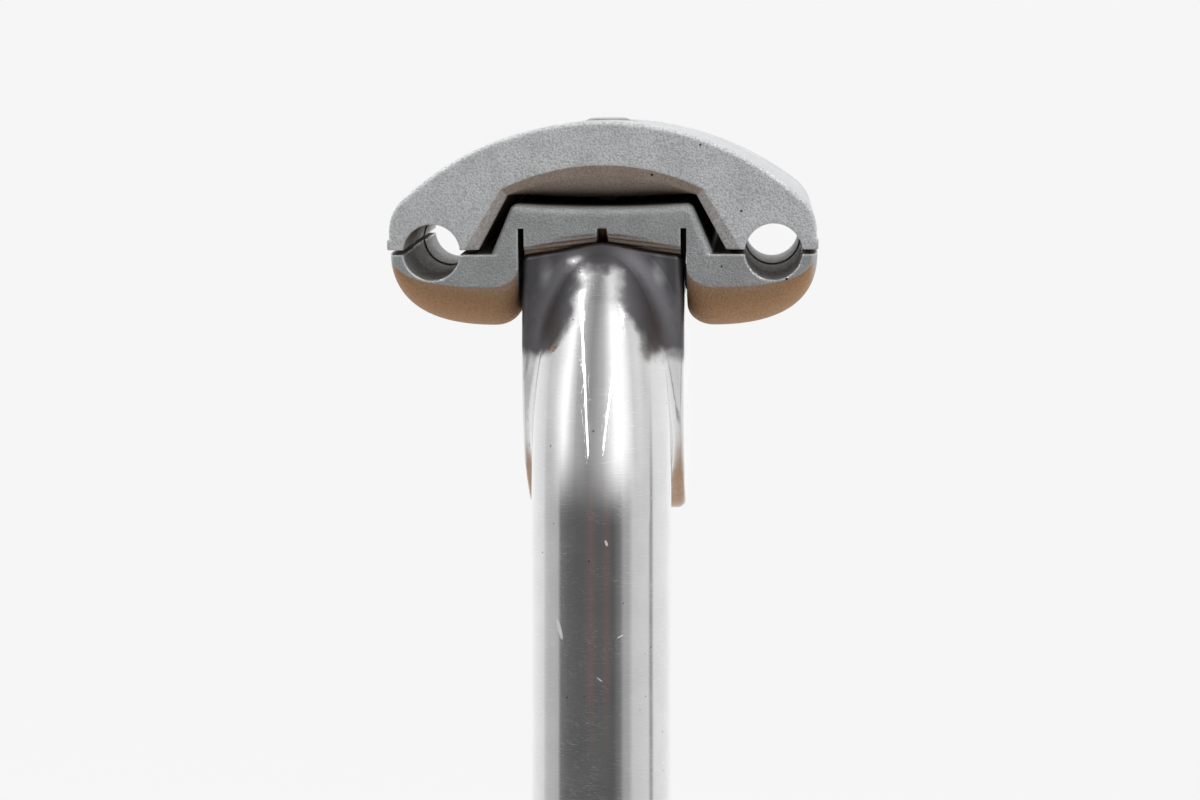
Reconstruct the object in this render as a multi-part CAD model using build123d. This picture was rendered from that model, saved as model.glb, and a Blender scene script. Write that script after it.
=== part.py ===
from build123d import *
import math
import os

# Bicycle seatpost with a flattened neck and a single-bolt saddle clamp.
# Millimetres. Z runs up the shaft, Y points to the rear of the bicycle and
# X is across it. The origin is on the shaft's axis at its lower end.

os.makedirs("parts", exist_ok=True)

# Round shaft that slides into the frame's seat tube
SHAFT_DIAMETER = 27.2
SHAFT_WALL = 3.1
SHAFT_LENGTH = 130.0
BORE_END_WALL = 10.0
END_CHAMFER = 0.5

# Flattened neck, oval in section, that leans back into the head
SHOULDER_LENGTH = 26.0
NECK_WIDTH = 17.5
NECK_DEPTH = 24.0
NECK_LENGTH = 40.3
BEND_RADIUS = 37.8
BEND_ANGLE = 60.0

# Head block behind the neck
HEAD_WIDTH = 20.4
HEAD_FRONT = 2.0
HEAD_EDGE = 1.2
HEAD_REAR_ROUND = 4.0
FOOT_SWEEP = 17.0
FOOT_SWEEP_HEIGHT = 24.0
NECK_BLEND = 4.0
LIP_EDGE = 0.6

# Where the saddle rails sit: middle of the clamp, and its angle to the shaft
SETBACK = 20.0
RAIL_RISE = 36.2
REST_TILT = 7.6
TILT_DOWN = 3.0
TILT_UP = 12.0

# Serrated rocker seat: two cones back to back, about an axis across the post
PIVOT_HEIGHT = 25.5
SEAT_RADIUS = 30.0
SEAT_ROOF_ANGLE = 8.0
SEAT_CLEARANCE = 0.08
BOSS_RADIUS = 60.5
BOSS_WALL = 3.4
BLANK_MARGIN = 6.0
TOOTH_PITCH_ANGLE = 1.8
TOOTH_DEPTH = 0.35
TOOTH_WIDTH = 0.7
TOOTH_OVERCUT = 0.2

# Saddle rails and the length of the clamp along them
RAIL_DIAMETER = 7.0
RAIL_CLEARANCE = 0.1
RAIL_SPACING = 43.0
RIM_WALL = 2.0
CLAMP_LENGTH = 38.0
GROOVE_CLOSING = 0.05
GROOVE_RELIEF = 0.2
GROOVE_RELIEF_LENGTH = 12.0
SPLIT_GAP = 0.6

# Lower cradle: two pods joined by a bridge over the head
POD_DEPTH = 9.8
POD_CROWN_ASIDE = 3.4
POD_FULLNESS = 0.66
POD_INNER_ROUND = 2.6
POD_LAND = 0.4
POD_NOSE_TURN = 75.0
POD_NOSE_LENGTH = 6.5
POD_NOSE_RISE = 5.4
POD_NOSE_TUCK = 0.7
HEAD_GAP = 0.4
BRIDGE_HEIGHT = 6.1
BRIDGE_SAG = 0.5
BRIDGE_TOP_WIDTH = 22.6
BRIDGE_FOOT_WIDTH = 27.8
BRIDGE_EDGE = 1.1
BRIDGE_ROOT = 1.0
CHANNEL_WIDTH = 0.75
CHANNEL_HEIGHT = 3.0
ROCKER_ROOT = 0.5
ROCKER_RELIEF_WIDTH = 1.5
ROCKER_RELIEF_DEPTH = 1.2

# Upper cap: arched top, and a tunnel over the bridge that narrows to the rear from a scooped mouth
CAP_CROWN = 16.4
CAP_REAR_CROWN = 15.3
CAP_END_ROUND = 5.5
CAP_END_HEIGHT = 2.6
CAP_EDGE = 0.5
CAP_LIP = 0.2
CAP_LIP_HEIGHT = 1.3
BRIDGE_GAP = 1.0
TUNNEL_CORNER_GAP = 0.6
TUNNEL_FOOT_GAP = 2.0
TUNNEL_REAR_GAP = 0.25
MOUTH_CROWN_RISE = 2.95
MOUTH_LENGTH = 6.0
MOUTH_TURN = 70.0
BAND_DEPTH = 0.6
BAND_CROWN = 1.35
BAND_SHOULDER = 0.8
BAND_FOOT = 1.9

# Clamp bolt and its washers
BOLT_DIAMETER = 8.0
BOLT_CLEARANCE = 0.3
THREAD_CLEARANCE = 0.05
BOLT_TIP = 0.25
BOLT_TIP_CHAMFER = 1.6
BOLT_HEAD_DIAMETER = 13.0
BOLT_HEAD_HEIGHT = 8.0
BOLT_HEAD_EDGE = 0.8
SOCKET_ACROSS_FLATS = 6.0
SOCKET_DEPTH = 4.0
WASHER_DIAMETER = 15.0
WASHER_THICKNESS = 1.6
WASHER_HOLE_CLEARANCE = 0.2
ROCKER_WASHER_WIDTH = 15.0
ROCKER_WASHER_LENGTH = 15.5
ROCKER_WASHER_THICKNESS = 2.2
ROCKER_WASHER_CORNER = 2.0

# Values that follow from the sizes above
SHAFT_BORE = SHAFT_DIAMETER - 2 * SHAFT_WALL
BORE_DEPTH = SHAFT_LENGTH - BORE_END_WALL
BEND_START = SHAFT_LENGTH + SHOULDER_LENGTH + NECK_LENGTH
RAIL_HEIGHT = BEND_START + RAIL_RISE
HALF_LENGTH = CLAMP_LENGTH / 2
HALF_GAP = SPLIT_GAP / 2
GROOVE_RADIUS = RAIL_DIAMETER / 2 + RAIL_CLEARANCE
RAIL_X = RAIL_SPACING / 2
CLAMP_WIDTH = RAIL_SPACING + 2 * (GROOVE_RADIUS + RIM_WALL)
CAP_WIDTH = CLAMP_WIDTH - 2 * CAP_LIP
SLOT_HALF = BOLT_DIAMETER / 2 + BOLT_CLEARANCE
ROOF_SLOPE = math.tan(math.radians(SEAT_ROOF_ANGLE))
NOTCH_HALF = HEAD_WIDTH / 2 + HEAD_GAP
ROCKER_HALF = NOTCH_HALF - CHANNEL_WIDTH
PIVOT_Y = SETBACK - PIVOT_HEIGHT * math.sin(math.radians(REST_TILT))
PIVOT_Z = RAIL_HEIGHT + PIVOT_HEIGHT * math.cos(math.radians(REST_TILT))
REACH = 200.0
ARC_HANDLE = 0.5523

CLAMP_PLACE = Pos(0, SETBACK, RAIL_HEIGHT) * Rot(REST_TILT, 0, 0)
PIVOT_PLACE = Pos(0, PIVOT_Y, PIVOT_Z)


def across(outline, width):
    """Solid with a side outline in the YZ plane, of a given width, centred on the middle plane."""
    return Pos(-width / 2, 0, 0) * extrude(Plane.YZ * make_face(outline), width, dir=(1, 0, 0))


def along(outline, length):
    """Solid with a front outline in the XZ plane, of a given length, centred on the clamp's middle."""
    return Pos(0, -length / 2, 0) * extrude(Plane.XZ * make_face(outline), length, dir=(0, 1, 0))


def spool(half_width, radius, relief_width=0.0, relief_depth=0.0):
    """Two cones back to back on the X axis, narrowest in the middle, with a ring cut there if asked for."""
    edge = radius + half_width * ROOF_SLOPE
    outline = [(-half_width, 0), (half_width, 0), (half_width, edge)]
    if relief_depth:
        half = relief_width / 2
        rim = radius + half * ROOF_SLOPE
        outline += [(half, rim), (half / 2, radius - relief_depth)]
        outline += [(-half / 2, radius - relief_depth), (-half, rim)]
    else:
        outline += [(0, radius)]
    outline += [(-half_width, edge)]
    return revolve(make_face(Polyline(*outline, close=True)), Axis.X)


def teeth(first_angle, last_angle, half_width, radius, depth):
    """V-shaped grooves along both cones of the seat, in even steps of angle about the X axis."""
    skin = -math.copysign(TOOTH_OVERCUT, depth)
    half = TOOTH_WIDTH / 2
    flare = half * (1 + abs(skin / depth))
    triangle = [(-flare, -(radius + skin)), (flare, -(radius + skin)), (0, -(radius + depth))]
    face = make_face(Plane.YZ * Polyline(*triangle, close=True))
    slope = Vector(1, 0, -ROOF_SLOPE)
    groove = extrude(face, half_width * slope.length, dir=slope)
    count = int((last_angle - first_angle) / TOOTH_PITCH_ANGLE)
    start = (first_angle + last_angle - count * TOOTH_PITCH_ANGLE) / 2
    cuts = []
    for step in range(count + 1):
        turned = Rot(start + step * TOOTH_PITCH_ANGLE, 0, 0) * groove
        cuts += [turned, mirror(turned, Plane.YZ)]
    return cuts


def from_pivot(distance, angle, aside=0.0):
    """Point in the side view at a distance from the pivot, along a line leaning back from straight down."""
    lean = math.radians(angle)
    y = PIVOT_Y + distance * math.sin(lean) + aside * math.cos(lean)
    z = PIVOT_Z - distance * math.cos(lean) + aside * math.sin(lean)
    return (y, z)


def boss_bottom(y):
    """Height of the head's round underside at a place along Y."""
    return PIVOT_Z - math.sqrt(BOSS_RADIUS ** 2 - (y - PIVOT_Y) ** 2)


def neck_oval():
    """Section of the neck."""
    return Ellipse(NECK_WIDTH / 2, NECK_DEPTH / 2)


def build_neck():
    """Shaft, the shoulders above it and the straight part of the oval neck."""
    radius = SHAFT_DIAMETER / 2
    shaft = extrude(Circle(radius), SHAFT_LENGTH)
    shaft = chamfer(shaft.faces().sort_by(Axis.Z)[0].edges(), END_CHAMFER)
    sections = [Pos(0, 0, SHAFT_LENGTH) * Rot(0, 0, 90) * Circle(radius)]
    for share in (0.08, 0.25, 0.5, 0.75, 0.92, 1.0):
        ease = share * share * (3 - 2 * share)
        height = SHAFT_LENGTH + share * SHOULDER_LENGTH
        oval = Ellipse(radius + (NECK_WIDTH / 2 - radius) * ease, radius + (NECK_DEPTH / 2 - radius) * ease)
        sections.append(Pos(0, 0, height) * oval)
    shoulder = loft(sections)
    neck = Pos(0, 0, SHAFT_LENGTH + SHOULDER_LENGTH) * extrude(neck_oval(), NECK_LENGTH)
    return shaft + shoulder + neck


def build_head():
    """Top of the forging: the neck's bend, blended into the block that carries the seat."""
    far_angle = REST_TILT + TILT_UP
    aside = SLOT_HALF + BOSS_WALL
    rear_top = from_pivot(SEAT_RADIUS - BLANK_MARGIN, far_angle, aside)
    rear_foot = from_pivot(math.sqrt(BOSS_RADIUS ** 2 - aside ** 2), far_angle, aside)
    foot_y = HEAD_FRONT + FOOT_SWEEP
    foot = (foot_y, boss_bottom(foot_y))
    sweep_top = (HEAD_FRONT, foot[1] + FOOT_SWEEP_HEIGHT)
    middle_y = (foot_y + rear_foot[0]) / 2
    near_foot = (foot_y - FOOT_SWEEP * ARC_HANDLE, foot[1])
    near_top = (HEAD_FRONT, sweep_top[1] - FOOT_SWEEP_HEIGHT * ARC_HANDLE)
    outline = Polyline(sweep_top, (HEAD_FRONT, rear_top[1]), rear_top, rear_foot)
    outline += ThreePointArc(rear_foot, (middle_y, boss_bottom(middle_y)), foot)
    outline += Bezier(foot, near_foot, near_top, sweep_top)
    bend_axis = Axis((0, BEND_RADIUS, BEND_START), (-1, 0, 0))
    bend = revolve(Pos(0, 0, BEND_START) * neck_oval(), bend_axis, BEND_ANGLE)
    blank = bend + across(outline, 2 * (NECK_WIDTH + HEAD_WIDTH))
    joins = blank.edges().filter_by(lambda edge: is_neck_join(edge, rear_top[1]))
    head = fillet(joins, NECK_BLEND) & Pos(0, 0, rear_top[1]) * Box(HEAD_WIDTH, REACH, REACH)
    half = HEAD_WIDTH / 2
    rear_edges = head.faces().sort_by(Axis.Y)[-1].edges()
    head = fillet(rear_edges.filter_by(lambda edge: abs(edge.center().X) > half / 2), HEAD_REAR_ROUND)
    rims = head.edges().filter_by(lambda edge: abs(edge.center().X) > half - HEAD_EDGE)
    return fillet(rims.filter_by(lambda edge: edge.center().Z < rear_top[1] - HEAD_EDGE), HEAD_EDGE)


def is_neck_join(edge, top):
    """True for the curves where the neck's bend runs into the head block, below the block's top."""
    box = edge.bounding_box()
    within_neck = max(box.max.X, -box.min.X) < NECK_WIDTH / 2 + HEAD_EDGE
    return within_neck and box.min.Z > BEND_START + HEAD_EDGE and box.max.Z < top - HEAD_EDGE


def build_post():
    """The forged post: shaft, neck and head, with the seat, the bolt's slot and the bore cut out."""
    head = build_head() - PIVOT_PLACE * spool(HEAD_WIDTH, SEAT_RADIUS)
    lip = head.edges().filter_by(lambda edge: edge.center().Z > PIVOT_Z - SEAT_RADIUS - HEAD_EDGE)
    lip = lip.filter_by(lambda edge: abs(edge.center().X) > HEAD_EDGE)
    head = fillet(lip, LIP_EDGE)
    post = build_neck() + head
    first = Rot(REST_TILT - TILT_DOWN, 0, 0)
    last = Rot(REST_TILT + TILT_UP, 0, 0)
    shank = Pos(0, 0, -BOSS_RADIUS) * Cylinder(SLOT_HALF, 2 * BOSS_RADIUS)
    corners = [from_pivot(0, 0), from_pivot(2 * BOSS_RADIUS, REST_TILT - TILT_DOWN),
               from_pivot(2 * BOSS_RADIUS, REST_TILT + TILT_UP)]
    slot = across(Polyline(*corners, close=True), 2 * SLOT_HALF)
    post -= [slot, PIVOT_PLACE * first * shank, PIVOT_PLACE * last * shank]
    front_lip = -math.degrees(math.asin((PIVOT_Y - HEAD_FRONT) / SEAT_RADIUS))
    rear_lip = REST_TILT + TILT_UP + math.degrees(math.asin((SLOT_HALF + BOSS_WALL) / SEAT_RADIUS))
    grooves = teeth(front_lip, rear_lip, HEAD_WIDTH, SEAT_RADIUS, TOOTH_DEPTH)
    post -= [PIVOT_PLACE * groove for groove in grooves]
    bore = Cylinder(SHAFT_BORE / 2, BORE_DEPTH, align=(Align.CENTER, Align.CENTER, Align.MIN))
    point = Cone(SHAFT_BORE / 2, 0, SHAFT_BORE / 4, align=(Align.CENTER, Align.CENTER, Align.MIN))
    return post - bore - Pos(0, 0, BORE_DEPTH) * point


def pod_section(turn):
    """Front outline of one pod at an angle of turn round its nose, which ends at POD_NOSE_TURN."""
    curl = (1 - math.cos(math.radians(turn))) / (1 - math.cos(math.radians(POD_NOSE_TURN)))
    rise = POD_NOSE_RISE * curl
    tuck = POD_NOSE_TUCK * curl
    outer = CLAMP_WIDTH / 2 - tuck
    bottom = -POD_DEPTH + rise
    inner = NOTCH_HALF
    top = -HALF_GAP
    side = top - POD_LAND
    crown_x = inner + POD_CROWN_ASIDE
    crown = (crown_x, bottom)
    belly = Bezier((outer, side), (outer, side + (bottom - side) * POD_FULLNESS),
                   (crown_x + (outer - crown_x) * POD_FULLNESS, bottom), crown)
    corner_height = bottom + POD_INNER_ROUND
    corner = Bezier(crown, (crown_x + (inner - crown_x) * ARC_HANDLE, bottom),
                    (inner, corner_height - POD_INNER_ROUND * ARC_HANDLE), (inner, corner_height))
    outline = Polyline((inner, corner_height), (inner, top), (outer, top), (outer, side)) + belly + corner
    return make_face(Plane.XZ * outline)


def build_pod():
    """One rounded pod under a saddle rail."""
    straight = HALF_LENGTH - POD_NOSE_LENGTH
    middle = Pos(0, -straight, 0) * extrude(pod_section(0), 2 * straight, dir=(0, 1, 0))
    sections = []
    for step in (0.0, 0.2, 0.4, 0.6, 0.8, 1.0):
        turn = step * POD_NOSE_TURN
        share = math.sin(math.radians(turn)) / math.sin(math.radians(POD_NOSE_TURN))
        sections.append(Pos(0, straight + share * POD_NOSE_LENGTH, 0) * pod_section(turn))
    nose = loft(sections)
    return middle + nose + mirror(nose, Plane.XZ)


def bridge_outline(raised, spread):
    """Trapezoid over the head with a slightly hollow top, grown upwards and sideways by two distances."""
    top = BRIDGE_HEIGHT + raised
    half_top = BRIDGE_TOP_WIDTH / 2 + spread
    half_foot = BRIDGE_FOOT_WIDTH / 2 + spread
    foot = -HALF_GAP - BRIDGE_ROOT
    outline = Polyline((half_top, top), (half_foot, 0), (half_foot, foot), (-half_foot, foot),
                       (-half_foot, 0), (-half_top, top))
    return outline + ThreePointArc((-half_top, top), (0, top - BRIDGE_SAG), (half_top, top))


def rail_grooves(height):
    """Cutters for both rail grooves, each a little wider in the middle of its length."""
    cuts = []
    for x in (-RAIL_X, RAIL_X):
        place = Pos(x, 0, height) * Rot(90, 0, 0)
        cuts.append(place * Cylinder(GROOVE_RADIUS, 2 * CLAMP_LENGTH))
        cuts.append(place * Cylinder(GROOVE_RADIUS + GROOVE_RELIEF, GROOVE_RELIEF_LENGTH))
    return cuts


def build_cradle():
    """Lower cradle: pods, bridge and the serrated rocker that sits in the head's seat."""
    bridge = along(bridge_outline(0, 0), CLAMP_LENGTH)
    upper_edges = bridge.edges().filter_by(lambda edge: edge.center().Z > BRIDGE_HEIGHT / 4)
    bridge = fillet(upper_edges, BRIDGE_EDGE)
    pod = build_pod()
    body = bridge + pod + mirror(pod, Plane.YZ)
    notch = Box(2 * NOTCH_HALF, REACH, REACH, align=(Align.CENTER, Align.CENTER, Align.MAX))
    body -= Pos(0, 0, CHANNEL_HEIGHT) * notch
    pivot = Pos(0, 0, PIVOT_HEIGHT)
    seat_radius = SEAT_RADIUS - SEAT_CLEARANCE
    rocker = pivot * spool(ROCKER_HALF, seat_radius, ROCKER_RELIEF_WIDTH, ROCKER_RELIEF_DEPTH)
    below = Box(REACH, CLAMP_LENGTH, REACH, align=(Align.CENTER, Align.CENTER, Align.MAX))
    rocker &= Pos(0, 0, CHANNEL_HEIGHT + ROCKER_ROOT) * below
    swing = math.degrees(math.asin(HALF_LENGTH / SEAT_RADIUS))
    grooves = teeth(-swing, swing, NOTCH_HALF, seat_radius, -TOOTH_DEPTH)
    rocker -= [pivot * groove for groove in grooves]
    body += rocker
    body -= rail_grooves(GROOVE_CLOSING)
    return body - Cylinder(SLOT_HALF, REACH)


def cap_section(crown):
    """Front outline of the cap's body: an arch between two rounded ends, flat underneath."""
    half = CAP_WIDTH / 2
    reach = half - CAP_END_ROUND
    climb = crown - CAP_END_ROUND - CAP_END_HEIGHT
    inner_radius = (reach ** 2 + climb ** 2) / (2 * climb)
    radius = inner_radius + CAP_END_ROUND
    centre = crown - radius
    lean = math.atan2(CAP_END_HEIGHT - centre, reach)
    join = (radius * math.cos(lean), centre + radius * math.sin(lean))
    middle_x = reach + CAP_END_ROUND * math.cos(lean / 2)
    middle_z = CAP_END_HEIGHT + CAP_END_ROUND * math.sin(lean / 2)
    outline = ThreePointArc((-join[0], join[1]), (0, crown), join)
    right = (half, CAP_END_HEIGHT)
    left = (-half, CAP_END_HEIGHT)
    outline += ThreePointArc(join, (middle_x, middle_z), right)
    outline += Polyline(right, (half, HALF_GAP), (-half, HALF_GAP), left)
    outline += ThreePointArc(left, (-middle_x, middle_z), (-join[0], join[1]))
    return make_face(Plane.XZ * outline)


def mouth_section(crown_rise=0.0, widened=0.0, drawn_in=0.0):
    """Outline of the cap's tunnel, with its crown raised, widened by a share of the band round the mouth,
    or drawn in towards the bridge."""
    gaps = (BRIDGE_GAP, TUNNEL_CORNER_GAP, TUNNEL_FOOT_GAP)
    top_gap, corner_gap, foot_gap = (gap + (TUNNEL_REAR_GAP - gap) * drawn_in for gap in gaps)
    tunnel_top = BRIDGE_HEIGHT + top_gap
    crown = tunnel_top - BRIDGE_SAG + crown_rise + BAND_CROWN * widened
    corner_x = BRIDGE_TOP_WIDTH / 2 + corner_gap + BAND_SHOULDER * widened
    corner_z = tunnel_top + BAND_SHOULDER * widened
    foot_x = BRIDGE_FOOT_WIDTH / 2 + foot_gap + BAND_FOOT * widened
    outline = ThreePointArc((-corner_x, corner_z), (0, crown), (corner_x, corner_z))
    outline += Polyline((corner_x, corner_z), (foot_x, -HALF_GAP), (-foot_x, -HALF_GAP),
                        (-corner_x, corner_z))
    return make_face(Plane.XZ * outline)


def build_mouth():
    """Cutter for the tunnel's front end: a scoop that lifts its crown, and a flat band round the edge."""
    turn = math.radians(MOUTH_TURN)
    sections = []
    for share in (0.0, 0.25, 0.5, 0.75, 1.0):
        reach = (MOUTH_LENGTH - BAND_DEPTH) * (1 - math.sin(share * turn) / math.sin(turn))
        rise = MOUTH_CROWN_RISE * (1 - math.cos(share * turn)) / (1 - math.cos(turn))
        sections.append(Pos(0, BAND_DEPTH + reach, 0) * mouth_section(rise))
    band = loft([sections[-1], mouth_section(MOUTH_CROWN_RISE, widened=1)], ruled=True)
    return Pos(0, -HALF_LENGTH, 0) * (loft(sections) + band)


def build_cap():
    """Upper cap: tapered arch with rail grooves and a tunnel over the bridge, scooped at the front."""
    front = Pos(0, -HALF_LENGTH, 0) * cap_section(CAP_CROWN)
    rear = Pos(0, HALF_LENGTH, 0) * cap_section(CAP_REAR_CROWN)
    body = loft([front, rear])
    rims = body.edges().filter_by(lambda edge: abs(edge.center().Y) > HALF_LENGTH - 0.1)
    rims = rims.filter_by(lambda edge: edge.center().Z > HALF_GAP + 0.1)
    body = fillet(rims, CAP_EDGE)
    lip = Box(CLAMP_WIDTH, CLAMP_LENGTH, CAP_LIP_HEIGHT, align=(Align.CENTER, Align.CENTER, Align.MIN))
    lip = fillet(lip.edges().filter_by(Axis.Y), CAP_LIP)
    body += Pos(0, 0, HALF_GAP) * lip
    inlet = Pos(0, MOUTH_LENGTH - HALF_LENGTH, 0) * mouth_section()
    outlet = Pos(0, HALF_LENGTH + CAP_EDGE, 0) * mouth_section(drawn_in=1)
    body -= [loft([inlet, outlet], ruled=True), build_mouth()]
    body -= rail_grooves(-GROOVE_CLOSING)
    return body - Cylinder(BOLT_DIAMETER / 2 + THREAD_CLEARANCE, REACH)


def build_rocker_washer():
    """Washer under the head with a hollow top that follows the head's round underside."""
    top = PIVOT_HEIGHT - BOSS_RADIUS - SEAT_CLEARANCE
    blank = Pos(0, 0, top - ROCKER_WASHER_THICKNESS) * Box(
        ROCKER_WASHER_WIDTH, ROCKER_WASHER_LENGTH, 3 * ROCKER_WASHER_THICKNESS,
        align=(Align.CENTER, Align.CENTER, Align.MIN))
    blank = fillet(blank.edges().filter_by(Axis.Z), ROCKER_WASHER_CORNER)
    hollow = Pos(0, 0, PIVOT_HEIGHT) * Rot(0, 90, 0) * Cylinder(BOSS_RADIUS + SEAT_CLEARANCE, REACH)
    hole = Cylinder(BOLT_DIAMETER / 2 + WASHER_HOLE_CLEARANCE, REACH)
    return blank - hollow - hole


def build_plain_washer():
    """Flat washer between the bolt's head and the rocker washer."""
    disc = Cylinder(WASHER_DIAMETER / 2, WASHER_THICKNESS, align=(Align.CENTER, Align.CENTER, Align.MAX))
    disc -= Cylinder(BOLT_DIAMETER / 2 + WASHER_HOLE_CLEARANCE, REACH)
    return Pos(0, 0, washer_seat()) * disc


def washer_seat():
    """Height of the rocker washer's flat underside."""
    return PIVOT_HEIGHT - BOSS_RADIUS - SEAT_CLEARANCE - ROCKER_WASHER_THICKNESS


def build_bolt():
    """Socket-head bolt from under the head up through the cradle, its tip just proud of the cap."""
    seat = washer_seat() - WASHER_THICKNESS
    tip = (CAP_CROWN + CAP_REAR_CROWN) / 2 + BOLT_TIP
    upright = (Align.CENTER, Align.CENTER, Align.MIN)
    shank = Pos(0, 0, seat) * Cylinder(BOLT_DIAMETER / 2, tip - seat, align=upright)
    shank = chamfer(shank.edges().group_by(Axis.Z)[-1], BOLT_TIP_CHAMFER / 2, BOLT_TIP_CHAMFER)
    head = Cylinder(BOLT_HEAD_DIAMETER / 2, BOLT_HEAD_HEIGHT, align=(Align.CENTER, Align.CENTER, Align.MAX))
    head = fillet(head.edges().group_by(Axis.Z)[0], BOLT_HEAD_EDGE)
    hexagon = RegularPolygon(SOCKET_ACROSS_FLATS / 2, 6, major_radius=False)
    head -= Pos(0, 0, -BOLT_HEAD_HEIGHT) * extrude(hexagon, SOCKET_DEPTH)
    return shank + Pos(0, 0, seat) * head


export_step(build_post(), "parts/post.step")
export_step(CLAMP_PLACE * build_cradle(), "parts/lower_cradle.step")
export_step(CLAMP_PLACE * build_cap(), "parts/upper_cap.step")
export_step(CLAMP_PLACE * build_bolt(), "parts/clamp_bolt.step")
export_step(CLAMP_PLACE * build_plain_washer(), "parts/plain_washer.step")
export_step(CLAMP_PLACE * build_rocker_washer(), "parts/rocker_washer.step")
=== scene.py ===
import math

import bmesh
import bpy
from mathutils import Matrix, Vector

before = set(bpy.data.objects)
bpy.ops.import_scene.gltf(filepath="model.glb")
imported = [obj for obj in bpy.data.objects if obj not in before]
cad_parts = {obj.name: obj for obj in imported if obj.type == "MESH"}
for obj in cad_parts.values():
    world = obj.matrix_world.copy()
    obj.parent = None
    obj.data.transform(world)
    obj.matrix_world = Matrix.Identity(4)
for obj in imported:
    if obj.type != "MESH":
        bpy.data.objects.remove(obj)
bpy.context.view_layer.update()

# Camera, as in the photograph: places in metres, the sensor in millimetres
PICTURE_WIDTH = 1200
FOCAL_PIXELS = 2912
SENSOR_WIDTH = 36.0
CAMERA_ASIDE = 0.019
CAMERA_HEIGHT = 0.21144
CAMERA_DISTANCE = 0.365
NEAREST_SEEN = 0.01
CLAMP_FRONT_Y = 0.00117
TARGET_ASIDE = -0.00025

# Studio light as azimuth and brightness, in degrees from the camera's side and positive to the right
LIGHT_AT_HORIZON = (
    (-180, 0.97), (-160, 0.95), (-140, 0.85), (-122, 0.76), (-115, 0.56), (-108, 0.51),
    (-88, 0.47), (-81, 0.18), (-66, 0.13), (-45, 0.11), (34, 0.11), (48, 0.20), (55, 0.38), (66, 0.42),
    (74, 0.62), (106, 0.68), (110, 0.34), (113, 0.34), (117, 0.76), (143, 0.84), (160, 0.95), (180, 0.97),
)
LIGHT_ABOVE = (
    (-180, 0.95), (-140, 0.85), (-117, 0.62), (-104, 0.73), (-92, 1.0), (-80, 1.3), (-67, 0.75),
    (-53, 0.45), (-24, 0.30), (-8, 0.38), (8, 0.52), (24, 0.83), (39, 1.2), (53, 1.3), (67, 1.06),
    (80, 0.72), (92, 0.78), (104, 0.66), (117, 0.80), (140, 0.88), (180, 0.95),
)
BACKDROP_WHITE = 0.92

# Elevations in degrees between which the light above takes over
ABOVE_STARTS = -2
ABOVE_ENDS = 18

# Two warm streaks in the room's dark front, as azimuth and strength
STREAKS = ((-32, 0.0), (-15, 1.0), (-2, 0.0), (8, 0.0), (19, 1.0), (30, 0.0))
STREAK_TONE = (0.15, 0.116, 0.108, 1)

# Tube lamps under the ceiling, each from one end to the other
CEILING_HEIGHT = 1.8
TUBE_WIDTH = 0.03
TUBE_GLOW = 36.0
TUBES = (
    ("left_tube", (-1.9, -4.6), (-0.95, 0.5)),
    ("right_tube", (0.8, -4.2), (1.3, -0.3)),
)

# Floor, and its brightness in the metal by azimuth, which holds near the object
FLOOR_SIZE = 3.0
FLOOR_SEEN = 0.98
FLOOR_GLOW_SHARE = 0.76
FLOOR_PAINT = 0.85
FLOOR_IN_METAL = ((-180, 0.80), (-110, 0.60), (-40, 0.37), (35, 0.37), (105, 0.64), (180, 0.80))
NEAR_UNTIL = 0.6
NEAR_ENDS = 1.2

# Parts of a noise's range over which patches and gloss change, in more than one finish
PATCH_NOISE = (0.35, 0.65)
GLOSS_NOISE = (0.3, 0.7)

# Bare edges, by how far the surface's direction agrees with its softened one
EDGE_BARE = 0.86
EDGE_WHOLE = 0.985

# Blasted castings: grain, bare edges, painted shade with some grime where parts meet, and black specks
BLAST_GRAIN = 0.00026
BLAST_BUMP = 0.8
BLAST_RELIEF = 0.00014
BLAST_PATCH = 0.004
BLAST_DARK = (0.83, 0.85, 0.86, 1)
BLAST_LIGHT = (0.91, 0.93, 0.94, 1)
BLAST_ROUGHEST = 0.74
BLAST_SMOOTHEST = 0.56
HOLLOW_NOISE = (0.34, 0.62)
HOLLOW_TONE = (0.36, 0.36, 0.36, 1)
HOLLOW_SHARE = 0.40
BARE_WIDTH = 0.0005
BARE_NOISE = (0.25, 0.55)
BARE_LEAST = 0.45
BARE_TONE = (0.95, 0.95, 0.94, 1)
BARE_ROUGHNESS = 0.34
# Painted shade, partly grime, darkening the castings where parts meet and in tight corners
GRIME_AND_SHADE_REACH = 0.003
GRIME_AND_SHADE_OPENNESS = (0.1, 0.55)
GRIME_AND_SHADE_TONE = (0.10, 0.092, 0.085, 1)
SPECK_SPACING = 0.0035
SPECK_RADIUS = 0.00022
SPECK_SHARE = 0.8
SPECK_TONE = (0.03, 0.028, 0.025, 1)

# How much lighter or darker each blasted casting is painted, as a lit or shaded copy of one finish, and
# how much painted brown reflection covers the undersides
CAP_PAINTED_BRIGHTNESS = 1.05
CRADLE_PAINTED_BRIGHTNESS = 0.66
CAP_PAINTED_REFLECTION = 0.62
CRADLE_PAINTED_REFLECTION = 0.88
POST_PAINTED_REFLECTION = 0.95
# Painted brown reflection on faces that point down, stronger as they turn further down
REFLECTION_FULL = -0.55
REFLECTION_ENDS = -0.12
REFLECTION_WANDER = 0.2
REFLECTION_BEHIND = 0.006
DARK_BROWN_REFLECTION = (0.40, 0.235, 0.125, 1)
PALE_BROWN_REFLECTION = (0.57, 0.33, 0.16, 1)

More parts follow.
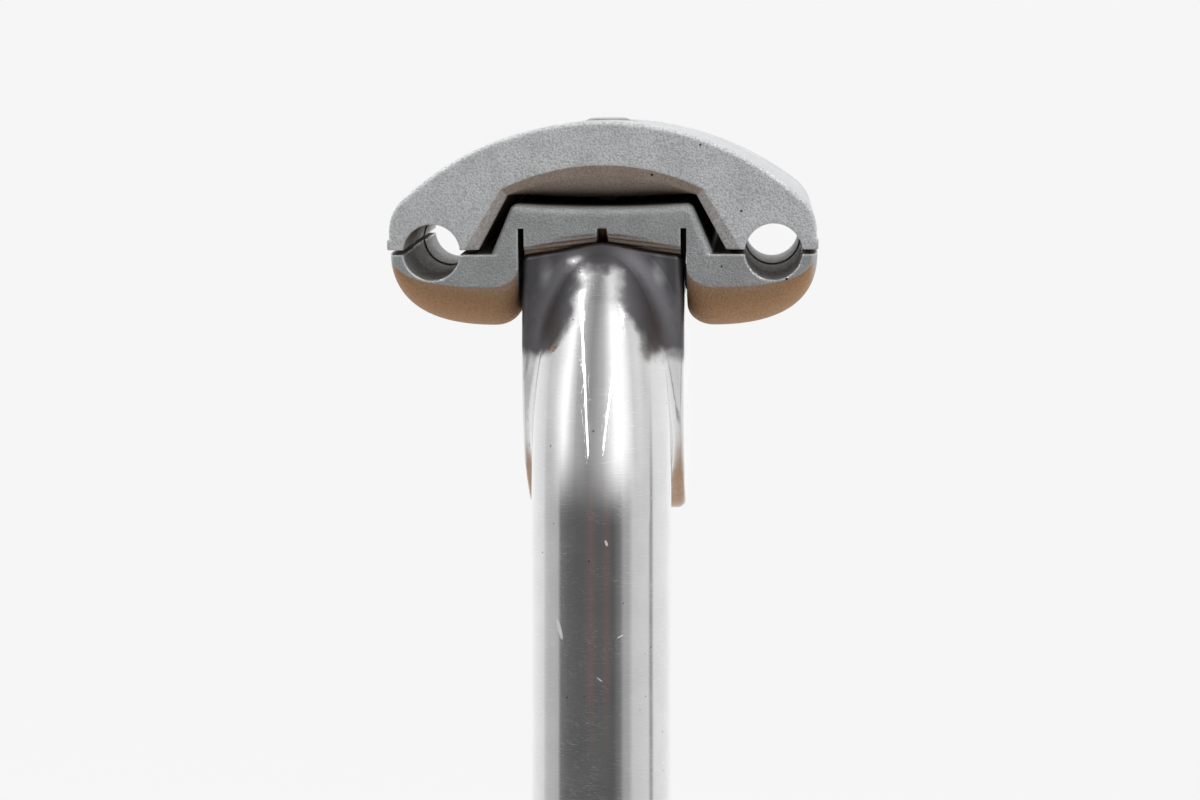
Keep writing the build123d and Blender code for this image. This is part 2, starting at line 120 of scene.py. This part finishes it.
# Polished post: haze, and the lines that the buffing wheel leaves
HAZE_SIZE = 0.005
HAZE_DARK = (0.83, 0.83, 0.835, 1)
HAZE_LIGHT = (0.88, 0.88, 0.88, 1)
HAZE_GLOSS = (0.35, 0.7)
POLISH_SMOOTHEST = 0.03
POLISH_HAZIEST = 0.08
BUFF_WIDTH = 0.00014
BUFF_STRETCH = (12, 12, 1)
BUFF_LINES = (0.55, 0.75)
BUFF_TONE = (0.93, 0.93, 0.93, 1)
BUFF_GLOSS = (0.5, 0.8)
BUFF_ROUGHNESS = 0.10
BUFF_BUMP = 0.08
BUFF_RELIEF = 0.00002

# Marks on the polished post: scratches as turn, length, width and amount; knocks as centre, size and lean
SCRATCHES = (
    ((0, 3, 0), 0.0009, 0.00005, 0.14),
    ((0, 38, 0), 0.0014, 0.00004, 0.10),
    ((0, -31, 0), 0.0013, 0.00004, 0.10),
    ((0, 84, 0), 0.0060, 0.00004, 0.09),
)
SCRATCH_STARTS = 0.80
SCRATCH_FULL = 0.86
SCRATCH_PATCH = 0.004
SCRATCH_PATCH_NOISE = (0.30, 0.62)
SCRATCH_DEPTH = 0.34
SCRATCH_ON_DULL = 0.06
FAINT_WHERE_DULL = 0.8
KNOCKS = (
    ((-0.0046, -0.0100, 0.1836), (0.0006, 0.006, 0.0032), -16),
    ((0.0004, -0.0120, 0.1776), (0.0002, 0.006, 0.0010), -50),
    ((0.0029, -0.0115, 0.1828), (0.0002, 0.006, 0.0011), 62),
    ((0.0012, -0.0118, 0.1941), (0.0004, 0.006, 0.0009), -20),
)
KNOCK_SOFTNESS = 0.35
MARK_TONE = (0.95, 0.95, 0.95, 1)
MARK_ROUGHNESS = 0.55
MARK_BUMP = 0.10
MARK_RELIEF = -0.00003
PIT_SPACING = 0.0022
PIT_RADIUS = 0.00014
PIT_SHARE = 0.7
PIT_TONE = (0.05, 0.048, 0.045, 1)

# Dull metal on the head where no buff reaches, painted dark there as the clamp's shade on it, with a
# rubbed spot on each cheek
DULL_FROM = 0.2158
DULL_FRONT = -0.0053
DULL_ASIDE = 0.0020
DULL_LIP = 0.2268
DULL_REAR = 0.004
DULL_FADE = 0.0025
DULL_ASIDE_FADE = 0.0022
DULL_LIP_FADE = 0.002
DULL_REAR_FADE = 0.006
DULL_WANDER = 0.006
DULL_IN_MIDDLE = 0.35
# Painted shade from the clamp, as the dull metal's dark tone
DULL_AND_SHADED_TONE = (0.15, 0.145, 0.155, 1)
DULL_ROUGHNESS = 0.45
RUBBED_ASIDE = 0.0072
RUBBED_HEIGHT = 0.2278
RUBBED_SIZE = (0.0034, 0.030, 0.0075)
RUBBED_LEAN = 8
RUBBED_SOFTNESS = 0.9
DULL_WHERE_RUBBED = 0.6

# Bolt and washers: turned rings, haze, bare edges and painted shade in corners
RING_SIZE = 0.00018
RING_LINES = (0.4, 0.7)
RING_TONE = (0.55, 0.55, 0.54, 1)
RING_BUMP = 0.3
RING_RELIEF = 0.00004
STEEL_PATCH = 0.002
STEEL_DARK = (0.30, 0.30, 0.31, 1)
STEEL_LIGHT = (0.44, 0.44, 0.43, 1)
STEEL_ROUGHEST = 0.36
STEEL_SMOOTHEST = 0.22
STEEL_BARE_WIDTH = 0.0004
STEEL_BARE_TONE = (0.72, 0.72, 0.71, 1)
# Painted shade in the tight corners of the bolt and washers
CORNER_SHADE_REACH = 0.004
CORNER_SHADE_OPENNESS = (0.2, 0.7)
CORNER_SHADE_COVER = 0.9
CORNER_SHADE_TONE = (0.06, 0.055, 0.05, 1)

# Clamp's middle and its angle to the shaft, for the rings on the bolt
CLAMP_MIDDLE = (0.0, 0.020, 0.2325)
CLAMP_TILT = 7.6


# Node helpers
def add(tree, kind, values=None, **settings):
    """One shader node with its settings, and its inputs set or linked."""
    made = tree.nodes.new("ShaderNode" + kind)
    for setting, value in settings.items():
        setattr(made, setting, value)
    for socket, value in (values or {}).items():
        if isinstance(value, bpy.types.NodeSocket):
            tree.links.new(value, made.inputs[socket])
        else:
            made.inputs[socket].default_value = value
    return made


def mix_colour(tree, share, first, second, blend="MIX"):
    """The colour between two others, each one a value or a node's output."""
    mix = tree.nodes.new("ShaderNodeMix")
    mix.data_type = "RGBA"
    mix.blend_type = blend
    for socket, value in ((mix.inputs[0], share), (mix.inputs[6], first), (mix.inputs[7], second)):
        if isinstance(value, bpy.types.NodeSocket):
            tree.links.new(value, socket)
        else:
            socket.default_value = value
    return mix.outputs[2]


def mix_value(tree, share, first, second):
    """The number between two others."""
    return add(tree, "Mix", {0: share, 2: first, 3: second}).outputs[0]


def product(tree, first, second):
    return add(tree, "Math", {0: first, 1: second}, operation="MULTIPLY").outputs[0]


def total(tree, first, second):
    return add(tree, "Math", {0: first, 1: second}, operation="ADD").outputs[0]


def length_of(tree, vector):
    return add(tree, "VectorMath", {0: vector}, operation="LENGTH").outputs["Value"]


def span(tree, value, low, high, first=0.0, last=1.0):
    """A smooth step from one value to another while an input goes from low to high."""
    limits = {"Value": value, "From Min": low, "From Max": high, "To Min": first, "To Max": last}
    return add(tree, "MapRange", limits, interpolation_type="SMOOTHSTEP").outputs[0]


def grey(brightness):
    return (brightness, brightness, brightness, 1)


def light_ramp(tree, direction, stops):
    """Brightness by the azimuth of a direction."""
    parts = add(tree, "SeparateXYZ", {0: direction})
    front = product(tree, parts.outputs["Y"], -1.0)
    angle = add(tree, "Math", {0: parts.outputs["X"], 1: front}, operation="ARCTAN2").outputs[0]
    turn = add(tree, "MapRange", {"Value": angle, "From Min": -math.pi, "From Max": math.pi})
    ramp = add(tree, "ValToRGB", {"Fac": turn.outputs[0]})
    elements = ramp.color_ramp.elements
    while len(elements) < len(stops):
        elements.new(0.5)
    for element, (azimuth, brightness) in zip(elements, stops):
        element.position = (azimuth + 180) / 360
        element.color = grey(brightness)
    return ramp.outputs["Color"]


def link_object(name, data):
    made = bpy.data.objects.new(name, data)
    bpy.context.scene.collection.objects.link(made)
    return made


# Camera
def add_camera():
    data = bpy.data.cameras.new("camera")
    data.sensor_width = SENSOR_WIDTH
    data.lens = FOCAL_PIXELS * SENSOR_WIDTH / PICTURE_WIDTH
    data.clip_start = NEAREST_SEEN
    camera = link_object("camera", data)
    camera.location = (CAMERA_ASIDE, CLAMP_FRONT_Y - CAMERA_DISTANCE, CAMERA_HEIGHT)
    target = Vector((TARGET_ASIDE, CLAMP_FRONT_Y, CAMERA_HEIGHT))
    camera.rotation_mode = "QUATERNION"
    camera.rotation_quaternion = (target - camera.location).to_track_quat("-Z", "Y")
    bpy.context.scene.camera = camera


# Studio
def empty_material(name):
    """A material and its node tree, with no node in it yet."""
    material = bpy.data.materials.new(name)
    material.use_nodes = True
    material.node_tree.nodes.clear()
    return material, material.node_tree


def stage_mesh(name, shape, material):
    mesh = bpy.data.meshes.new(name)
    shape.to_mesh(mesh)
    shape.free()
    mesh.materials.append(material)
    made = link_object(name, mesh)
    return made


def add_tube_lamp(name, start, end):
    """A straight lamp under the ceiling, which shows as a thin bright line in the polished metal."""
    first = Vector((*start, CEILING_HEIGHT))
    last = Vector((*end, CEILING_HEIGHT))
    run = last - first
    shape = bmesh.new()
    bmesh.ops.create_grid(shape, x_segments=1, y_segments=1, size=0.5)
    bmesh.ops.scale(shape, verts=shape.verts, vec=(run.length, TUBE_WIDTH, 1))
    turn = Matrix.Rotation(math.atan2(run.y, run.x), 4, "Z")
    place = Matrix.Translation((first + last) / 2) @ turn
    bmesh.ops.transform(shape, verts=shape.verts, matrix=place)
    material, tree = empty_material(name)
    glow = add(tree, "Emission", {"Color": grey(1.0), "Strength": TUBE_GLOW})
    add(tree, "OutputMaterial", {"Surface": glow.outputs[0]})
    lamp = stage_mesh(name, shape, material)
    lamp.visible_camera = False


def add_floor():
    """White to the camera with the object's shadow on it; pale in the metal, and farther out as bright
    as the room behind it."""
    shape = bmesh.new()
    bmesh.ops.create_grid(shape, x_segments=1, y_segments=1, size=FLOOR_SIZE / 2)
    material, tree = empty_material("floor")
    paint = add(tree, "BsdfDiffuse", {"Color": grey(FLOOR_PAINT)})
    white = add(tree, "Emission", {"Color": grey(FLOOR_SEEN)})
    seen = add(tree, "MixShader", {0: FLOOR_GLOW_SHARE, 1: paint.outputs[0], 2: white.outputs[0]})

    place = add(tree, "TexCoord").outputs["Object"]
    near = span(tree, length_of(tree, place), NEAR_UNTIL, NEAR_ENDS, 1.0, 0.0)
    far_light = light_ramp(tree, place, LIGHT_AT_HORIZON)
    near_light = light_ramp(tree, place, FLOOR_IN_METAL)
    pale = add(tree, "Emission", {"Color": mix_colour(tree, near, far_light, near_light)})
    to_camera = add(tree, "LightPath").outputs["Is Camera Ray"]
    shown = add(tree, "MixShader", {0: to_camera, 1: pale.outputs[0], 2: seen.outputs[0]})
    add(tree, "OutputMaterial", {"Surface": shown.outputs[0]})
    stage_mesh("floor", shape, material)


def add_world():
    """White to the camera; to everything else a room with a dark front, bright sides and a white back."""
    world = bpy.data.worlds.new("studio")
    world.use_nodes = True
    tree = world.node_tree
    background = tree.nodes["Background"]
    ray = add(tree, "TexCoord").outputs["Generated"]
    lowest = math.sin(math.radians(ABOVE_STARTS))
    highest = math.sin(math.radians(ABOVE_ENDS))
    height = span(tree, add(tree, "SeparateXYZ", {0: ray}).outputs["Z"], lowest, highest)
    horizon = light_ramp(tree, ray, LIGHT_AT_HORIZON)
    horizon = mix_colour(tree, light_ramp(tree, ray, STREAKS), horizon, STREAK_TONE)
    room = mix_colour(tree, height, horizon, light_ramp(tree, ray, LIGHT_ABOVE))
    to_camera = add(tree, "LightPath").outputs["Is Camera Ray"]
    seen = mix_colour(tree, to_camera, room, grey(BACKDROP_WHITE))
    tree.links.new(seen, background.inputs["Color"])
    bpy.context.scene.world = world


# Patterns of the finishes
def grain(tree, place, size, detail=2.0, stretch=(1, 1, 1)):
    """Noise whose patches are about as large as size, in metres, drawn out along the axes by stretch."""
    drawn_out = add(tree, "Mapping", {"Vector": place, "Scale": tuple(1 / s for s in stretch)})
    noise = add(tree, "TexNoise", {"Vector": drawn_out.outputs[0], "Scale": 1 / size, "Detail": detail})
    return noise.outputs[0]


def wandering(tree, noise, amount):
    """A small shift, up or down, that makes a border uneven."""
    return product(tree, total(tree, noise, -0.5), amount)


def bump(tree, height, strength, depth, normal=None):
    values = {"Height": height, "Strength": strength, "Distance": depth}
    if normal is not None:
        values["Normal"] = normal
    return add(tree, "Bump", values).outputs[0]


def rotated(tree, place, turn, centre=(0, 0, 0), size=(1, 1, 1)):
    """Coordinates of a pattern that is moved to a centre, turned by degrees and scaled to a size."""
    turns = tuple(math.radians(angle) for angle in turn)
    values = {"Vector": place, "Location": centre, "Rotation": turns, "Scale": size}
    return add(tree, "Mapping", values, vector_type="TEXTURE").outputs[0]


def spots(tree, place, spacing, radius, share):
    """Small round spots, in a share of the cells of an uneven lattice."""
    cells = add(tree, "TexVoronoi", {"Vector": place, "Scale": 1 / spacing})
    inside = span(tree, cells.outputs["Distance"], 0.5 * radius / spacing, radius / spacing, 1.0, 0.0)
    lot = add(tree, "SeparateColor", {0: cells.outputs["Color"]}).outputs[0]
    return product(tree, inside, span(tree, lot, 1 - share, 1.01 - share))


def scratches(tree, place, turn, length, width, amount):
    """Thin straight marks along the turned X axis, more of them as the amount nears 0.5."""
    stretch = (length / width, length / width, 1)
    lines = grain(tree, rotated(tree, place, turn), width, 1.0, stretch)
    return span(tree, lines, SCRATCH_STARTS - amount, SCRATCH_FULL - amount)


def blob(tree, place, centre, size, lean, softness):
    """One rounded patch with a width, depth and height in metres, leaning to the right by an angle."""
    halves = tuple(side / 2 for side in size)
    inner = rotated(tree, place, (0, lean, 0), centre, halves)
    return span(tree, length_of(tree, inner), 1 - softness, 1.0, 1.0, 0.0)


def rubbed_edges(tree, radius):
    """Where the surface turns sharply within a radius and is rubbed bare, and the softened normal."""
    rounded = add(tree, "Bevel", {"Radius": radius}, samples=4).outputs[0]
    normal = add(tree, "NewGeometry").outputs["Normal"]
    alike = add(tree, "VectorMath", {0: rounded, 1: normal}, operation="DOT_PRODUCT").outputs["Value"]
    return span(tree, alike, EDGE_BARE, EDGE_WHOLE, 1.0, 0.0), rounded


def openness(tree, reach):
    """How open the surface lies, from 0 in a tight corner to 1 on a free face."""
    return add(tree, "AmbientOcclusion", {"Distance": reach}, samples=8).outputs["AO"]


def painted_brown_reflection(tree, tone, coarse, cover, painted_light):
    """The tone under a painted brown reflection on faces that point down."""
    facing = add(tree, "SeparateXYZ", {0: add(tree, "TexCoord").outputs["Normal"]}).outputs["Z"]
    uneven = total(tree, facing, wandering(tree, coarse, REFLECTION_WANDER))
    painted_reflection = span(tree, uneven, REFLECTION_FULL, REFLECTION_ENDS, cover, 0.0)
    return mix_colour(tree, painted_reflection, tone, painted_light)


# Finishes
def new_finish(name):
    """A metal, its node tree, its shader and the object's own coordinates."""
    material = bpy.data.materials.new(name)
    material.use_nodes = True
    tree = material.node_tree
    shader = tree.nodes["Principled BSDF"]
    shader.inputs["Metallic"].default_value = 1.0
    place = add(tree, "TexCoord").outputs["Object"]
    return material, tree, shader, place


def connect(tree, shader, tone, rough, normal):
    tree.links.new(tone, shader.inputs["Base Color"])
    tree.links.new(rough, shader.inputs["Roughness"])
    tree.links.new(normal, shader.inputs["Normal"])


def blasted_aluminium(name, painted_brightness, cover, painted_light):
    """Bead-blasted silver: sparkling grain, bare bright edges, black specks, painted shade with some
    grime where parts meet, painted lighter or darker overall, and a painted brown reflection on faces
    that point down.
    """
    material, tree, shader, place = new_finish(name)
    fine = grain(tree, place, BLAST_GRAIN, 2.0)
    coarse = grain(tree, place, BLAST_PATCH, 3.0)
    tone = mix_colour(tree, span(tree, coarse, *PATCH_NOISE), BLAST_DARK, BLAST_LIGHT)
    # Painted light and shade: the whole casting lighter or darker, as a lit or shaded copy of one finish
    tone = mix_colour(tree, 1.0, tone, grey(painted_brightness), "MULTIPLY")
    hollow = mix_colour(tree, HOLLOW_SHARE, tone, HOLLOW_TONE)
    tone = mix_colour(tree, span(tree, fine, *HOLLOW_NOISE), hollow, tone)

    edges, rounded = rubbed_edges(tree, BARE_WIDTH)
    edges = product(tree, edges, span(tree, coarse, *BARE_NOISE, BARE_LEAST, 1.0))
    tone = mix_colour(tree, edges, tone, BARE_TONE)
    # Painted shade, partly grime, darkening where parts meet and in tight corners
    grime_and_shade = span(tree, openness(tree, GRIME_AND_SHADE_REACH), *GRIME_AND_SHADE_OPENNESS, 1.0, 0.0)
    tone = mix_colour(tree, grime_and_shade, tone, GRIME_AND_SHADE_TONE)
    # Painted brown reflection on faces that point down
    tone = painted_brown_reflection(tree, tone, coarse, cover, painted_light)
    specks = spots(tree, place, SPECK_SPACING, SPECK_RADIUS, SPECK_SHARE)
    tone = mix_colour(tree, specks, tone, SPECK_TONE)

    matt = span(tree, fine, *GLOSS_NOISE, BLAST_ROUGHEST, BLAST_SMOOTHEST)
    rough = mix_value(tree, edges, matt, BARE_ROUGHNESS)
    connect(tree, shader, tone, rough, bump(tree, fine, BLAST_BUMP, BLAST_RELIEF, rounded))
    return material


def dull_and_shaded_metal(tree, place, haze):
    """How dull the head is, and how much of the clamp's shade is painted on it: above the bend and behind
    its front, less in the middle and where rubbed.
    """
    parts = add(tree, "SeparateXYZ", {0: place})
    wander = wandering(tree, haze, DULL_WANDER)
    height = total(tree, parts.outputs["Z"], wander)
    depth = total(tree, parts.outputs["Y"], wander)
    from_middle = add(tree, "Math", {0: parts.outputs["X"]}, operation="ABSOLUTE").outputs[0]
    from_middle = total(tree, from_middle, wander)
    above = span(tree, height, DULL_FROM, DULL_FROM + DULL_FADE)
    behind = span(tree, depth, DULL_FRONT, DULL_FRONT + DULL_FADE)
    ahead = span(tree, parts.outputs["Y"], DULL_REAR, DULL_REAR + DULL_REAR_FADE, 1.0, 0.0)
    aside = span(tree, from_middle, DULL_ASIDE, DULL_ASIDE + DULL_ASIDE_FADE, DULL_IN_MIDDLE, 1.0)
    under_lip = span(tree, height, DULL_LIP, DULL_LIP + DULL_LIP_FADE)
    aside = add(tree, "Math", {0: aside, 1: under_lip}, operation="MAXIMUM").outputs[0]
    dull_and_shaded = product(tree, product(tree, above, behind), product(tree, ahead, aside))
    for side in (-1, 1):
        centre = (side * RUBBED_ASIDE, DULL_FRONT, RUBBED_HEIGHT)
        spot = blob(tree, place, centre, RUBBED_SIZE, -RUBBED_LEAN * side, RUBBED_SOFTNESS)
        dull_and_shaded = product(tree, dull_and_shaded, span(tree, spot, 0.0, 1.0, 1.0, DULL_WHERE_RUBBED))
    return dull_and_shaded


def scratches_and_knocks(tree, place, dull_and_shaded):
    """Bright marks on the polish: scratches in patches, faint on dull metal, and the larger knocks."""
    patches = span(tree, grain(tree, place, SCRATCH_PATCH, 2.0), *SCRATCH_PATCH_NOISE)
    marks = 0.0
    for turn, length, width, amount in SCRATCHES:
        lines = product(tree, scratches(tree, place, turn, length, width, amount), patches)
        marks = total(tree, marks, lines)
    strength = span(tree, dull_and_shaded, 0.0, FAINT_WHERE_DULL, SCRATCH_DEPTH, SCRATCH_ON_DULL)
    marks = product(tree, marks, strength)
    for centre, size, lean in KNOCKS:
        marks = total(tree, marks, blob(tree, place, centre, size, lean, KNOCK_SOFTNESS))
    return add(tree, "Clamp", {0: marks}).outputs[0]


def polished_aluminium():
    """Buffed bright aluminium: fine scratches, knocks and pits, haze, dull metal with painted shade under
    the clamp, and a painted brown reflection on rear faces that point down.
    """
    material, tree, shader, place = new_finish("polished_aluminium")
    haze = grain(tree, place, HAZE_SIZE, 4.0)
    buff = grain(tree, place, BUFF_WIDTH, 2.0, BUFF_STRETCH)
    dull_and_shaded = dull_and_shaded_metal(tree, place, haze)
    marks = scratches_and_knocks(tree, place, dull_and_shaded)
    pits = spots(tree, place, PIT_SPACING, PIT_RADIUS, PIT_SHARE)

    tone = mix_colour(tree, span(tree, haze, *PATCH_NOISE), HAZE_DARK, HAZE_LIGHT)
    tone = mix_colour(tree, span(tree, buff, *BUFF_LINES), tone, BUFF_TONE)
    behind = add(tree, "SeparateXYZ", {0: place}).outputs["Y"]
    painted_reflection = span(tree, behind, 0.0, REFLECTION_BEHIND, 0.0, POST_PAINTED_REFLECTION)
    # Painted brown reflection on the rear faces that point down
    tone = painted_brown_reflection(tree, tone, haze, painted_reflection, DARK_BROWN_REFLECTION)
    # Painted shade from the clamp on the dull metal under it
    tone = mix_colour(tree, dull_and_shaded, tone, DULL_AND_SHADED_TONE)
    tone = mix_colour(tree, marks, tone, MARK_TONE)
    tone = mix_colour(tree, pits, tone, PIT_TONE)

    hazy = span(tree, haze, *HAZE_GLOSS, POLISH_SMOOTHEST, POLISH_HAZIEST)
    rough = total(tree, hazy, span(tree, buff, *BUFF_GLOSS, 0.0, BUFF_ROUGHNESS))
    rough = mix_value(tree, dull_and_shaded, rough, DULL_ROUGHNESS)
    rough = mix_value(tree, marks, rough, MARK_ROUGHNESS)
    scored = bump(tree, total(tree, marks, pits), MARK_BUMP, MARK_RELIEF)
    connect(tree, shader, tone, rough, bump(tree, buff, BUFF_BUMP, BUFF_RELIEF, scored))
    return material


def bolt_steel():
    """Dark plated steel with fine rings from turning, and painted shade in its corners."""
    material, tree, shader, place = new_finish("bolt_steel")
    parts = add(tree, "SeparateXYZ", {0: rotated(tree, place, (CLAMP_TILT, 0, 0), CLAMP_MIDDLE)})
    across = add(tree, "CombineXYZ", {"X": parts.outputs["X"], "Y": parts.outputs["Y"]}).outputs[0]
    radius = length_of(tree, across)
    ringed = add(tree, "CombineXYZ", {"X": radius, "Z": parts.outputs["Z"]}).outputs[0]
    rings = grain(tree, ringed, RING_SIZE, 2.0)
    haze = grain(tree, place, STEEL_PATCH, 3.0)
    tone = mix_colour(tree, span(tree, haze, *PATCH_NOISE), STEEL_DARK, STEEL_LIGHT)
    tone = mix_colour(tree, span(tree, rings, *RING_LINES), tone, RING_TONE)
    edges, rounded = rubbed_edges(tree, STEEL_BARE_WIDTH)
    tone = mix_colour(tree, edges, tone, STEEL_BARE_TONE)
    # Painted shade in the tight corners of the bolt and washers
    painted_light = span(tree, openness(tree, CORNER_SHADE_REACH), *CORNER_SHADE_OPENNESS, CORNER_SHADE_COVER, 0.0)
    tone = mix_colour(tree, painted_light, tone, CORNER_SHADE_TONE)
    rough = span(tree, rings, *GLOSS_NOISE, STEEL_ROUGHEST, STEEL_SMOOTHEST)
    connect(tree, shader, tone, rough, bump(tree, rings, RING_BUMP, RING_RELIEF, rounded))
    return material


def set_material(node, material):
    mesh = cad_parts[node].data
    mesh.materials.clear()
    mesh.materials.append(material)


# Scene
set_material("post", polished_aluminium())
set_material("upper_cap", blasted_aluminium("blasted_cap", CAP_PAINTED_BRIGHTNESS, CAP_PAINTED_REFLECTION, DARK_BROWN_REFLECTION))
set_material("lower_cradle", blasted_aluminium("blasted_cradle", CRADLE_PAINTED_BRIGHTNESS, CRADLE_PAINTED_REFLECTION, PALE_BROWN_REFLECTION))
steel = bolt_steel()
for node in ("clamp_bolt", "plain_washer", "rocker_washer"):
    set_material(node, steel)

add_camera()
add_world()
add_floor()
for name, start, end in TUBES:
    add_tube_lamp(name, start, end)
bpy.context.scene.view_settings.view_transform = "Standard"
